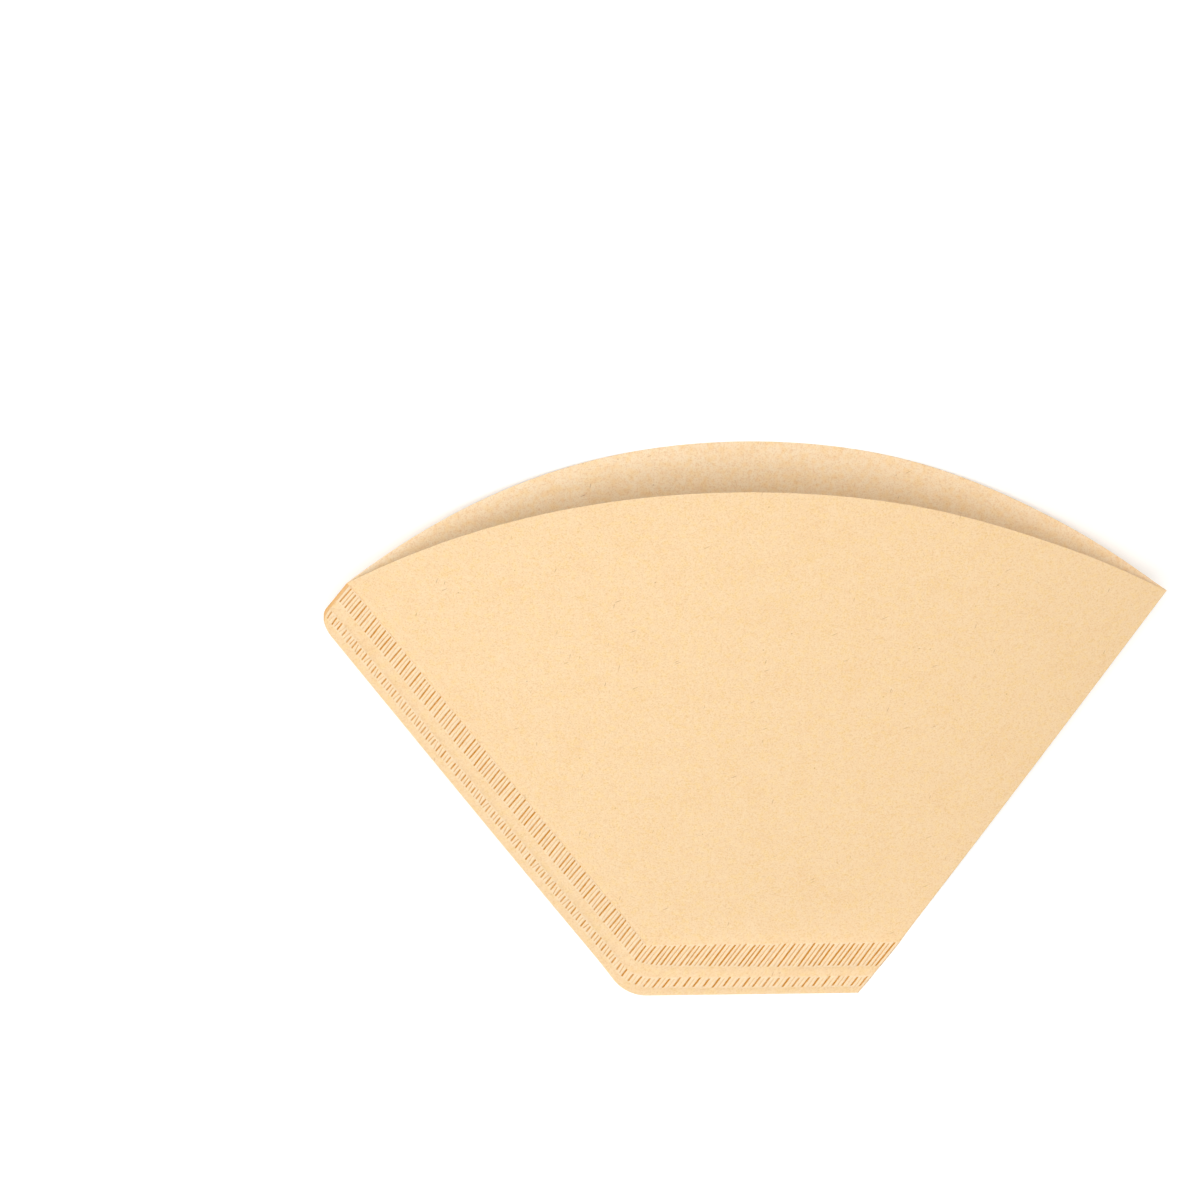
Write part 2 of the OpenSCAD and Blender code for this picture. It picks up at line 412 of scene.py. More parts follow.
# %% Put the seams in the table
seam_places = seam_flat(crimps, depths)
beside = np.clip((seam_places - pocket_foot_l) @ pocket_dir / side_len, 0, 1)
torn = np.clip(TORN_MOST * (1 - (last_n - crimps) / END_LINE), 0, 1)
UP = np.array([0, 0, 1])
seam_facts = {"crimp": crimps, "depth": depths, "torn": torn}
seam_top = add_points(-1, beside, UP, seam_places, **seam_facts)
seam_under = add_points(-1, beside, -UP, seam_places, **seam_facts)

# %% [markdown]
# ## Panels and fold
#
# The panels' lines run closer together near the foot seam, where the walls leave the table. Both
# panels share the points along the pocket's edges, because there the plies are one. At the fold the
# sheet turns over in a half round, one ply thick.

# %% Put the panels and the fold in the table
ACROSS = 110
ALONG = 80
FOOT_CLOSER = 1.35
RIM = 0.15
u_line = np.linspace(-1, 1, ACROSS + 1)
v_line = np.append(np.linspace(0, 1, ALONG + 1)[:-1] ** FOOT_CLOSER, [1 - RIM / fold_len, 1])
us, vs = np.meshgrid(u_line, v_line)
front_outside = add_points(us, vs, UP)
back_outside = add_points(us, vs, -UP, front=0)
front_inside = add_points(us, vs, 0 * UP, inner=1)
back_inside = add_points(us, vs, 0 * UP, front=0, inner=1)
back_inside[:, [0, -1]] = front_inside[:, [0, -1]]
back_inside[0] = front_inside[0]

NOSE = 6
fold_rings = [np.concatenate([seam_under[:, -1], back_outside[:, -1]])]
for step in range(1, NOSE):
    turn = math.pi * (step / NOSE - 0.5)
    lift = [*(fold_out * math.cos(turn)), math.sin(turn)]
    of_seam = {name: values[:, -1] for name, values in seam_facts.items()}
    ring = [add_points(-1, beside[:, -1], lift, seam_places[:, -1], **of_seam), add_points(1, v_line, lift)]
    fold_rings.append(np.concatenate(ring))
fold_rings.append(np.concatenate([seam_top[:, -1], front_outside[:, -1]]))
fold_rings = np.array(fold_rings)
print("each panel has", ACROSS * (len(v_line) - 1), "faces on each side")

# %% [markdown]
# ## The two plies at the cut edge
#
# Where the die cut through both panels, the edge shows two thin lips with a fine line between them.
# One more row of points, drawn in by a fraction of a millimetre between the lips, makes that line.

# %% The line between the plies
LIP = 0.07
drawn_in = seam_flat(crimps[0], depths[0] + LIP)
cut_line = add_points(-1, beside[0], 0 * UP, drawn_in, crimp=crimps[0], depth=0, torn=torn[0])
drawn_in = seam_places[:, 0] + LIP * fold_out
end_line = add_points(-1, beside[:, 0], 0 * UP, drawn_in, crimp=crimps[:, 0], depth=depths[:, 0], torn=1)
end_line[0] = cut_line[0]
print("the line between the plies has", len(cut_line) + len(end_line) - 1, "points")

# %% [markdown]
# ## Joining the points to a closed skin
#
# A patch fills a grid with faces, a zip joins two edges whose points lie at different places, and a
# fan closes a small end. All of them face out, and the result is tested: on a closed skin every edge
# has exactly two faces.

# %% Patches, zips and fans
def patch(grid, flip=False):
    corners = [grid[:-1, :-1], grid[:-1, 1:], grid[1:, 1:], grid[1:, :-1]]
    made = np.stack(corners, -1).reshape(-1, 4)
    return (made[:, ::-1] if flip else made).tolist()


def zip_edges(near, near_c, far, far_c, flip=False):
    """Triangles between two edges that run towards the fold, each to the next point that is nearer."""
    made, i, j = [], 0, 0
    while i < len(near) - 1 or j < len(far) - 1:
        if j == len(far) - 1 or (i < len(near) - 1 and near_c[i + 1] >= far_c[j + 1]):
            made.append([near[i], near[i + 1], far[j]])
            i += 1
        else:
            made.append([near[i], far[j + 1], far[j]])
            j += 1
    return [face[::-1] if flip else face for face in made]


def fan(middle, ring, flip=False):
    made = [[middle, a, b] for a, b in zip(ring, ring[1:])]
    return [face[::-1] if flip else face for face in made]


def pocket_edge(grid):
    """A panel's edge against the seams, from the mouth down the side and along the foot to the fold."""
    return np.concatenate([grid[::-1, 0], grid[0, 1:]])


flat_grid, _ = panel_flat(us, vs)
pocket_c = pocket_edge(from_fold(flat_grid))
seam_c = from_fold(seam_places[-1])
seam_end = [back_outside[-1, 0], seam_under[-1, 0], end_line[-1], seam_top[-1, 0], front_outside[-1, 0]]
faces = [
    *patch(seam_top), *patch(seam_under, True), *patch(front_outside), *patch(back_outside, True),
    *zip_edges(seam_top[-1], seam_c, pocket_edge(front_outside), pocket_c),
    *zip_edges(seam_under[-1], seam_c, pocket_edge(back_outside), pocket_c, True),
    *patch(front_inside, True), *patch(back_inside), *patch(fold_rings),
    *patch(np.array([seam_under[0], cut_line, seam_top[0]])),
    *patch(np.array([seam_under[:, 0], end_line, seam_top[:, 0]]), True),
    *patch(np.array([front_inside[-1], front_outside[-1]]), True),
    *patch(np.array([back_outside[-1], back_inside[-1]]), True),
    *fan(cut_line[-1], fold_rings[:, 0]), *fan(front_inside[-1, -1], fold_rings[:, -1], True),
    *fan(front_inside[-1, 0], seam_end),
]
used = np.unique(np.concatenate([np.array(face) for face in faces]))
number = dict(zip(used.tolist(), range(len(used))))
faces = [[number[int(n)] for n in face] for face in faces]
known = {name: np.concatenate(parts)[used] for name, parts in table.items()}

sides = [tuple(sorted(side)) for face in faces for side in zip(face, face[1:] + face[:1])]
_, uses = np.unique(np.array(sides), axis=0, return_counts=True)
print(len(used), "points,", len(faces), "faces, edges without two faces:", int((uses != 2).sum()))

# %% Make the flat sheet, with what is known about each point as attributes
flat_mesh = bpy.data.meshes.new("flat_sheet")
flat_mesh.from_pydata(np.pad(known["flat"], ((0, 0), (0, 1))) * MM, [], faces)
IN_MM = ("held", "span", "spine", "reach")
for name, values in known.items():
    if name == "flat":
        continue
    is_vector = name in WIDTHS
    values = np.pad(values, ((0, 0), (0, 3 - WIDTHS[name]))) if is_vector else values
    kept = flat_mesh.attributes.new(name, "FLOAT_VECTOR" if is_vector else "FLOAT", "POINT")
    kept.data.foreach_set("vector" if is_vector else "value", values.ravel() * (MM if name in IN_MM else 1))
sheet = bpy.data.objects.new("paper_filter", flat_mesh)
bpy.context.scene.collection.objects.link(sheet)
print("attributes:", [a.name for a in flat_mesh.attributes if not a.name.startswith(".")])

# %% [markdown]
# ## One rule for the crimps
#
# The rollers press a row of short lines near the cut edge and a row of long ones beside the pocket.
# Halfway between two deep lines lies a fainter one. No tooth is worn quite like its neighbour, so each
# line gets a strength, a lean and a start of its own, drawn by White Noise from its number, and
# Noise makes the pressure patchy. Up the side all lines are a little weaker, apart from the faint ones
# of the short row: those are weakest along the foot, and up the side some lean against the deep ones.
#
# The crimps have to be there twice: as relief in the mesh, and in the paper's colour, as bruised fibres
# with painted shade in the lines and a painted highlight between them. Both kinds of tree have the same
# nodes for sums, so one function adds the rule to either.

# %% How hard the rollers press each place
ROLLERS = {
    "Pitch": PITCH, "Pressed width": PRESSED_W, "Faint width": FAINT_W, "Patches": 0.9, "Seed": 3.0,
    "Row end": ROW_END, "Ragged": 0.3, "Lean": 0.02, "Short lean": 0.15,
    "Short from": SHORT_ROW[0], "Short to": SHORT_ROW[1], "Long from": LONG_ROW[0], "Long to": LONG_ROW[1],
}
BETWEEN_ROWS = (SHORT_ROW[1] + LONG_ROW[0]) / 2
# A pair of shares is a kind of line's strength on the foot and up the side. One grows into the other
# between the two crimps of ROUND_CORNER.
ROUND_CORNER = (FOOT_CRIMPS - 3, FOOT_CRIMPS + 5)
DEEP_SHARES = {"long": (1.0, 0.92), "short": (0.98, 0.82)}
FAINT_SHARES = {"long": (1.0, 0.72), "short": (0.42, 0.76)}
PATCH_SPREAD = (0.35, 0.65, 0.86, 1.12)
CORE_PART = 5.0
ROWS_APART = 1000.0


def press(tree, crimp, depth, torn_here, size):
    """Adds the rule. Returns how hard a place is pressed, and how free it lies between the lines."""
    in_long = add(tree, MATH, [depth, BETWEEN_ROWS], operation="GREATER_THAN")
    low = add(tree, RANGE, [in_long, 0.0, 1.0, size["Short from"], size["Long from"]])
    high = add(tree, RANGE, [in_long, 0.0, 1.0, size["Short to"], size["Long to"]])
    row_middle = add(tree, MATH, [low, high], operation="ADD")
    row_middle = add(tree, MATH, [row_middle, 2.0], operation="DIVIDE")
    past_middle = add(tree, MATH, [depth, row_middle], operation="SUBTRACT")
    past_low = add(tree, MATH, [depth, low], operation="SUBTRACT")
    below_high = add(tree, MATH, [high, depth], operation="SUBTRACT")
    soft_end = add(tree, MATH, [0.0, size["Row end"]], operation="SUBTRACT")
    whole = add(tree, MATH, [1.0, torn_here], operation="SUBTRACT")

    up_side = add(tree, RANGE, [crimp, *ROUND_CORNER, 0.0, 1.0])
    shares = []
    for strengths in (DEEP_SHARES, FAINT_SHARES):
        long_share = add(tree, RANGE, [up_side, 0.0, 1.0, *strengths["long"]])
        short_share = add(tree, RANGE, [up_side, 0.0, 1.0, *strengths["short"]])
        shares.append(add(tree, RANGE, [in_long, 0.0, 1.0, short_share, long_share]))
    short_lean = add(tree, RANGE, [up_side, 0.0, 1.0, size["Lean"], size["Short lean"]])
    faint_lean = add(tree, RANGE, [in_long, 0.0, 1.0, short_lean, size["Lean"]])

    along = add(tree, MATH, [crimp, size["Pitch"]], operation="MULTIPLY")
    spot = add(tree, "ShaderNodeCombineXYZ", [along, depth, 0.0])
    finer = add(tree, MATH, [1.0, size["Patches"]], operation="DIVIDE")
    patches = add(tree, "ShaderNodeTexNoise", {"Vector": spot, "Scale": finer, "Detail": 1.0})
    patches = add(tree, RANGE, [patches, *PATCH_SPREAD])

    grooves = []
    presses = []
    for offset, width, weakest, strongest, share, lean in (
        (0.0, "Pressed width", 0.84, 1.12, shares[0], size["Lean"]),
        (0.5, "Faint width", 0.25, 0.85, shares[1], faint_lean),
    ):
        shifted = add(tree, MATH, [crimp, offset], operation="SUBTRACT")
        tooth = add(tree, MATH, [shifted], operation="ROUND")
        name = add(tree, MATH, [in_long, ROWS_APART, tooth], operation="MULTIPLY_ADD")
        name = add(tree, MATH, [name, offset], operation="ADD")
        name = add(tree, MATH, [name, size["Seed"]], operation="MULTIPLY")
        dice = add(tree, "ShaderNodeTexWhiteNoise", {"W": name}, noise_dimensions="1D").outputs["Color"]
        dice = add(tree, "ShaderNodeSeparateXYZ", [dice]).outputs

        tilt = add(tree, RANGE, [dice["X"], 0.0, 1.0, -1.0, 1.0])
        tilt = add(tree, MATH, [tilt, lean], operation="MULTIPLY")
        middle = add(tree, MATH, [past_middle, tilt, tooth], operation="MULTIPLY_ADD")
        away = add(tree, MATH, [shifted, middle], operation="SUBTRACT")
        away = add(tree, MATH, [away, size["Pitch"]], operation="MULTIPLY")
        away = add(tree, MATH, [away], operation="ABSOLUTE")
        half = add(tree, MATH, [size[width], 2.0], operation="DIVIDE")
        core = add(tree, MATH, [size[width], CORE_PART], operation="DIVIDE")
        groove = add(tree, RANGE, [away, core, half, 1.0, 0.0], interpolation_type="SMOOTHSTEP")

        late = add(tree, MATH, [dice["Y"], size["Ragged"]], operation="MULTIPLY")
        early = add(tree, MATH, [dice["Z"], size["Ragged"]], operation="MULTIPLY")
        past_start = add(tree, MATH, [past_low, late], operation="SUBTRACT")
        before_end = add(tree, MATH, [below_high, early], operation="SUBTRACT")
        within = add(tree, MATH, [past_start, before_end], operation="MINIMUM")
        within = add(tree, RANGE, [within, soft_end, size["Row end"], 0.0, 1.0])
        groove = add(tree, MATH, [groove, within], operation="MULTIPLY")
        groove = add(tree, MATH, [groove, share], operation="MULTIPLY")
        grooves.append(add(tree, MATH, [groove, whole], operation="MULTIPLY"))

        mixed = add(tree, MATH, [dice["X"], dice["Z"]], operation="ADD")
        mixed = add(tree, MATH, [mixed], operation="FRACT")
        strength = add(tree, RANGE, [mixed, 0.0, 1.0, weakest, strongest])
        strength = add(tree, MATH, [strength, patches], operation="MULTIPLY")
        presses.append(add(tree, MATH, [grooves[-1], strength], operation="MULTIPLY", use_clamp=True))

    within = add(tree, MATH, [past_low, below_high], operation="MINIMUM")
    within = add(tree, RANGE, [within, soft_end, size["Row end"], 0.0, 1.0])
    within = add(tree, MATH, [within, whole], operation="MULTIPLY")
    groove = add(tree, MATH, grooves, operation="MAXIMUM")
    untouched = add(tree, MATH, [1.0, groove], operation="SUBTRACT")
    free = add(tree, MATH, [within, untouched], operation="MULTIPLY")
    return add(tree, MATH, presses, operation="MAXIMUM"), free


# %% [markdown]
# ## The paper
#
# Unbleached filter paper is softwood kraft pulp, formed wet on a wire and left rough and open. To the
# eye that gives a matt, warm tan that is never quite even: clouds of denser fibre a few millimetres
# wide, a fine mottle of single fibres, the faint ribbing of the wire, and here and there a dark shive,
# which is a scrap of bark or of bundled fibre. Crimping bruises the fibres, so the pressed lines are
# a little glossier and golden brown: partly the bruised fibres' own colour, partly painted shade in
# their grooves. The paper between them is painted paler, a painted highlight on its swelling. The
# inside is painted a touch paler and less warm than the outside: partly a tint of its own, partly
# painted to offset the warm light that the panels bounce onto each other in the pocket.

# %% Mix the paper's mottle
# Single fibres are finer than a pixel of the render, so the finest blots are drawn coarser than they
# are, at 0.3 to 0.8 mm.
PAPER = "#F9D8AB"
# The inside's colour: partly a paler tint of its own, partly painted to offset the warm light that the
# panels bounce onto each other in the pocket's shade.
INSIDE_TINT_AND_PAINTED_SHADE = "#FCE9CA"
CLOUD = "#F0C184"
# A pale tone of the pulp in the mottle, and between the crimps a painted highlight.
PALE_TONE_AND_HIGHLIGHT = "#FFE9C8"
STRAW = "#F9D694"
SPECK = "#D9A866"
SHIVE = "#A56F3A"
# The pressed lines' colour: partly the bruised fibres' own darker colour, partly painted shade in their
# grooves.
BRUISE_AND_GROOVE_SHADE = "#C48108"
TORN = "#DF9E48"

paper = bpy.data.materials.new("unbleached_kraft_filter_paper")
paper.use_nodes = True
pulp = paper.node_tree
pulp.nodes.clear()
place = add(pulp, "ShaderNodeTexCoord").outputs["Object"]
# Inside faces get the inside's colour: partly their own tint, partly painted against the bounced warm
# light.
inner_face = add(pulp, "ShaderNodeAttribute", attribute_name="inner").outputs["Fac"]
feeds = {"Factor": inner_face, "A": linear(PAPER), "B": linear(INSIDE_TINT_AND_PAINTED_SHADE)}
colour = add(pulp, "ShaderNodeMix", feeds, data_type="RGBA")
for tint, size, detail, low, high, most in (
    (CLOUD, 6.0, 3.0, 0.42, 0.78, 0.2),
    (PALE_TONE_AND_HIGHLIGHT, 2.2, 2.0, 0.45, 0.75, 0.14),
    (STRAW, 1.4, 1.0, 0.4, 0.75, 0.48),
    (CLOUD, 0.8, 2.0, 0.45, 0.8, 0.38),
    (PALE_TONE_AND_HIGHLIGHT, 0.4, 1.0, 0.4, 0.75, 0.35),
    (SPECK, 0.3, 1.0, 0.42, 0.8, 0.38),
):
    blots = add(pulp, "ShaderNodeTexNoise", {"Vector": place, "Scale": 1 / (size * MM), "Detail": detail})
    amount = add(pulp, RANGE, [blots, low, high, 0.0, most], interpolation_type="SMOOTHSTEP")
    feeds = {"Factor": amount, "A": colour, "B": linear(tint)}
    colour = add(pulp, "ShaderNodeMix", feeds, data_type="RGBA")

# %% Add the shives: rare short flecks, each lying its own way
# A cell is CELL times as large as its fleck, and only the share `kept` of the cells shows one.
BEND = 0.5 * MM
BEND_SIZE = 3 * MM
CELL = 3.6
FLECK_CORE = 0.08
FLECK_EDGE = 0.17
APART = (0.013, 0.007, 0.0)
bend = add(pulp, "ShaderNodeTexNoise", {"Vector": place, "Scale": 1 / BEND_SIZE})
bent = [bend.outputs["Color"], [BEND] * 3, place]
bent = add(pulp, "ShaderNodeVectorMath", bent, operation="MULTIPLY_ADD")
for order, (length, width, turn, kept, dark) in enumerate((
    (1.4, 0.16, 0.4, 0.035, 0.45),
    (1.2, 0.15, 1.3, 0.035, 0.5),
    (0.9, 0.17, 2.1, 0.1, 0.18),
    (1.1, 0.16, 2.8, 0.1, 0.18),
    (0.34, 0.26, 0.9, 0.015, 0.5),
)):
    long_side, short_side = length * MM * CELL, width * MM * CELL
    feeds = {
        "Vector": bent, "Location": [way * order for way in APART], "Rotation": [0, 0, turn],
        "Scale": [long_side, short_side, long_side],
    }
    squeezed = add(pulp, "ShaderNodeMapping", feeds, vector_type="TEXTURE")
    cell = add(pulp, "ShaderNodeTexVoronoi", {"Vector": squeezed, "Scale": 1.0})
    feeds = [cell.outputs["Distance"], FLECK_CORE, FLECK_EDGE, dark, 0.0]
    near = add(pulp, RANGE, feeds, interpolation_type="SMOOTHSTEP")
    lot = add(pulp, "ShaderNodeSeparateColor", {"Color": cell.outputs["Color"]})
    chosen = add(pulp, MATH, [lot, kept], operation="LESS_THAN")
    amount = add(pulp, MATH, [near, chosen], operation="MULTIPLY")
    feeds = {"Factor": amount, "A": colour, "B": linear(SHIVE)}
    colour = add(pulp, "ShaderNodeMix", feeds, data_type="RGBA")

# %% Let it grow a shade warmer towards the fold
WARMTH = 0.13
WARM_FROM = -40 * MM
WARM_TO = 70 * MM
across = add(pulp, "ShaderNodeSeparateXYZ", [place]).outputs["X"]
amount = add(pulp, RANGE, [across, WARM_FROM, WARM_TO, 0.0, WARMTH])
feeds = {"Factor": amount, "A": colour, "B": linear(CLOUD)}
colour = add(pulp, "ShaderNodeMix", feeds, data_type="RGBA")

# %% Let the crimps and the torn end colour it
in_seams = [add(pulp, "ShaderNodeAttribute", attribute_name=name).outputs["Fac"] for name in KEPT[:3]]
# free marks the paper between the lines, which is painted paler below: a painted highlight on its swelling.
pressed, free = press(pulp, *in_seams, ROLLERS)
# The pressed lines are painted golden brown: partly the bruised fibres' own colour, partly painted shade in
# their grooves.
for mark, tint, most in ((free, PALE_TONE_AND_HIGHLIGHT, 0.48), (in_seams[2], TORN, 0.75), (pressed, BRUISE_AND_GROOVE_SHADE, 1.0)):
    amount = add(pulp, MATH, [mark, most], operation="MULTIPLY")
    feeds = {"Factor": amount, "A": colour, "B": linear(tint)}
    colour = add(pulp, "ShaderNodeMix", feeds, data_type="RGBA")

# %% Give it its tooth, and finish the shader
# The wire's marks lie closer than the render can show, so they are drawn 0.55 mm apart.
WIRE = 0.55 * MM
WIRE_SHARE = 0.25
WAVES_PER_UNIT = 20 / math.tau
GRAIN = 0.5 * MM
TOOTH = 0.03 * MM
MATT = 0.92
BURNISHED = 0.72
grain = add(pulp, "ShaderNodeTexNoise", {"Vector": place, "Scale": 1 / GRAIN, "Detail": 3})
feeds = {
    "Vector": place, "Scale": 1 / (WIRE * WAVES_PER_UNIT), "Distortion": 1.2, "Detail": 2,
    "Detail Scale": 2,
}
wire = add(pulp, "ShaderNodeTexWave", feeds, bands_direction="X")
tooth = add(pulp, MATH, [wire.outputs["Fac"], WIRE_SHARE, grain], operation="MULTIPLY_ADD")
bump = add(pulp, "ShaderNodeBump", {"Strength": 0.35, "Distance": TOOTH, "Height": tooth})
gloss = add(pulp, RANGE, [pressed, 0, 1, MATT, BURNISHED])
shader = add(pulp, "ShaderNodeBsdfPrincipled", {
    "Base Color": colour, "Normal": bump, "Roughness": gloss, "IOR": 1.5,
})
add(pulp, "ShaderNodeOutputMaterial", {"Surface": shader})
print("the paper's recipe has", len(pulp.nodes), "nodes")

# %% [markdown]
# ## Opening the pocket
#
# On the real filter, fingers part the panels: the mouth opens, the seam and the fold rise from the
# table by half of that, the front panel crowns, and the back panel stays flat along its middle. Paper
# hardly stretches, so a bowed panel gets narrower, and its lines reach less far. That is a rule, and a
# Geometry Nodes tree states it once for all points. Its inputs say how far the mouth opens and how
# much of the back panel lies flat, so the pocket can be opened further without modelling it again.

# %% How each tree starts and ends, and how its inputs are set
FACT = "GeometryNodeInputNamedAttribute"


def new_tree(name, sizes):
    """A geometry tree with a number input for each size, and the outputs of its first node."""
    tree = bpy.data.node_groups.new(name, "GeometryNodeTree")
    tree.interface.new_socket("Geometry", in_out="INPUT", socket_type="NodeSocketGeometry")
    for size in sizes:
        tree.interface.new_socket(size, in_out="INPUT", socket_type="NodeSocketFloat")
    tree.interface.new_socket("Material", in_out="INPUT", socket_type="NodeSocketMaterial")
    tree.interface.new_socket("Geometry", in_out="OUTPUT", socket_type="NodeSocketGeometry")
    return tree, tree.nodes.new("NodeGroupInput").outputs


def close_tree(tree, geometry, inputs):
    real = add(tree, "GeometryNodeRealizeInstances", {"Geometry": geometry})
    worn = add(tree, "GeometryNodeSetMaterial", {"Geometry": real, "Material": inputs["Material"]})
    add(tree, "NodeGroupOutput", {"Geometry": worn})


def use_tree(piece, tree, values):
    """Adds the tree to the piece as a modifier. An input is set by its socket's identifier."""
    modifier = piece.modifiers.new(tree.name, "NODES")
    modifier.node_group = tree
    for socket in tree.interface.items_tree:
        if socket.in_out == "INPUT" and socket.name in values:
            modifier[socket.identifier] = values[socket.name]
    print(tree.name, "has", len(tree.nodes), "nodes")


# %% Build the tree that opens the pocket
BACK_FLAT = 34.0
TINY_ARC = 0.0001
opening = {
    "Half opening": 14 * MM, "Flat share": BACK_FLAT / mouth_w, "Soft start": 0.06, "Paper": ply * MM,
    "Foot seam": foot_seam_w * MM, "Slack": 0.5 * MM, "Slack size": 45 * MM,
}
tree, given = new_tree("open_the_pocket", opening)
NUMBERS = ("u", "v", "span", "spine", "reach", "front")
u, v, span, spine, reach, front = [add(tree, FACT, {"Name": n}, data_type="FLOAT") for n in NUMBERS]
held, lift = [add(tree, FACT, {"Name": name}, data_type="FLOAT_VECTOR") for name in ("held", "lift")]

# The walls leave the foot seam softly and then climb evenly, by sqrt(v2 + soft2) - soft as a share of
# what that is at the mouth.
soft = given["Soft start"]
soft_2 = add(tree, MATH, [soft, soft], operation="MULTIPLY")
climbs = []
for at in (v, 1.0):
    climb = add(tree, MATH, [at, at, soft_2], operation="MULTIPLY_ADD")
    climb = add(tree, MATH, [climb], operation="SQRT")
    climbs.append(add(tree, MATH, [climb, soft], operation="SUBTRACT"))
share = add(tree, MATH, climbs, operation="DIVIDE")
rise = add(tree, MATH, [share, given["Half opening"]], operation="MULTIPLY")

# The front panel crowns as 2 - u2. The back one lies flat near its middle and curls up at its sides.
u_2 = add(tree, MATH, [u, u], operation="MULTIPLY")
crown = add(tree, MATH, [2.0, u_2], operation="SUBTRACT")
outwards = add(tree, MATH, [u], operation="ABSOLUTE")
outwards = add(tree, MATH, [outwards, given["Flat share"]], operation="SUBTRACT")
outwards = add(tree, MATH, [outwards, 0.0], operation="MAXIMUM")
curled = add(tree, MATH, [1.0, given["Flat share"]], operation="SUBTRACT")
curl = add(tree, MATH, [outwards, curled], operation="DIVIDE")
curl = add(tree, MATH, [curl, curl], operation="MULTIPLY")
bow = add(tree, "ShaderNodeMix", {"Factor": front, "A": curl, "B": crown}, data_type="FLOAT")
height = add(tree, MATH, [rise, bow], operation="MULTIPLY")

# A bowed panel is as narrow as the chord of its arc, sin(a) / a, and a climbing line reaches less far.
# At the foot seam the arc is nil, and a tiny one stands in for it.
arc = add(tree, MATH, [rise, 4.0], operation="MULTIPLY")
arc = add(tree, MATH, [arc, span], operation="DIVIDE")
arc = add(tree, MATH, [arc, TINY_ARC], operation="MAXIMUM")
chord = add(tree, MATH, [arc], operation="SINE")
chord = add(tree, MATH, [chord, arc], operation="DIVIDE")
steep = add(tree, MATH, [given["Half opening"], bow], operation="MULTIPLY")
steep = add(tree, MATH, [steep, reach], operation="DIVIDE")
steep = add(tree, MATH, [steep, steep], operation="MULTIPLY")
level = add(tree, MATH, [1.0, steep], operation="SUBTRACT")
level = add(tree, MATH, [level], operation="SQRT")

# Each of the two shrinks a point's way from the middle line or from the foot seam.
place_held = add(tree, "ShaderNodeSeparateXYZ", [held])
shifts = []
for axis, middle, shrink in (("X", spine, chord), ("Y", given["Foot seam"], level)):
    way = add(tree, MATH, [place_held.outputs[axis], middle], operation="SUBTRACT")
    less = add(tree, MATH, [shrink, 1.0], operation="SUBTRACT")
    shifts.append(add(tree, MATH, [way, less], operation="MULTIPLY"))

# Paper is never quite even: the crown has slow, shallow waves that die out at the seams and the fold.
wave = add(tree, "ShaderNodeVectorMath", {0: held, "Scale": 1 / opening["Slack size"]}, operation="SCALE")
wave = add(tree, "ShaderNodeTexNoise", {"Vector": wave, "Scale": 1.0, "Detail": 1.0})
wave = add(tree, MATH, [wave, 0.5], operation="SUBTRACT")
free = add(tree, MATH, [1.0, u_2], operation="SUBTRACT")
free = add(tree, MATH, [free, share], operation="MULTIPLY")
free = add(tree, MATH, [free, front], operation="MULTIPLY")
free = add(tree, MATH, [free, given["Slack"]], operation="MULTIPLY")
height = add(tree, MATH, [wave, free, height], operation="MULTIPLY_ADD")
height = add(tree, MATH, [height, given["Paper"]], operation="ADD")

shift = add(tree, "ShaderNodeCombineXYZ", [*shifts, height])
thickness = add(tree, "ShaderNodeVectorMath", {0: lift, "Scale": given["Paper"]}, operation="SCALE")
shift = add(tree, "ShaderNodeVectorMath", [shift, thickness], operation="ADD")
moved = add(tree, "GeometryNodeSetPosition", {"Geometry": given["Geometry"], "Offset": shift})
close_tree(tree, moved, given)
use_tree(sheet, tree, {**opening, "Material": paper})

# %% [markdown]
# ## The crimps' relief
#
# Where the rollers pressed the paper it stays down on the other ply, and between the lines it swells.
# That swelling is what the light catches. The tree follows the same rule as the paper's colour, so
# each swelling lies between its own two lines.

# %% Build the tree that presses the crimps
pressing = {**ROLLERS, "Swelling": 0.17 * MM}
tree, given = new_tree("press_the_crimps", pressing)
in_seams = [add(tree, FACT, {"Name": name}, data_type="FLOAT") for name in KEPT[:3]]
_, free = press(tree, *in_seams, given)
swelling = add(tree, MATH, [free, given["Swelling"]], operation="MULTIPLY")
shift = add(tree, "ShaderNodeCombineXYZ", [0.0, 0.0, swelling])
moved = add(tree, "GeometryNodeSetPosition", {"Geometry": given["Geometry"], "Offset": shift})
close_tree(tree, moved, given)
use_tree(sheet, tree, {**pressing, "Material": paper})

# %% [markdown]
# ## From the trees to a plain mesh
#
# The two modifiers are evaluated once and their result becomes the filter's own mesh, so that it can
# be exported as it is. Then it moves to where the part lies, with its fold's tip and its floor at the
# part's. Soft shading with a sharp line at each cut edge keeps the paper thin and smooth at once.

# %% Keep the result, and lay it where the part lies
graph = bpy.context.evaluated_depsgraph_get()
mesh = bpy.data.meshes.new_from_object(
    sheet.evaluated_get(graph), preserve_all_data_layers=True, depsgraph=graph
)
sheet.modifiers.clear()
sheet.data = mesh
for name in FACTS[1:]:
    mesh.attributes.remove(mesh.attributes[name])

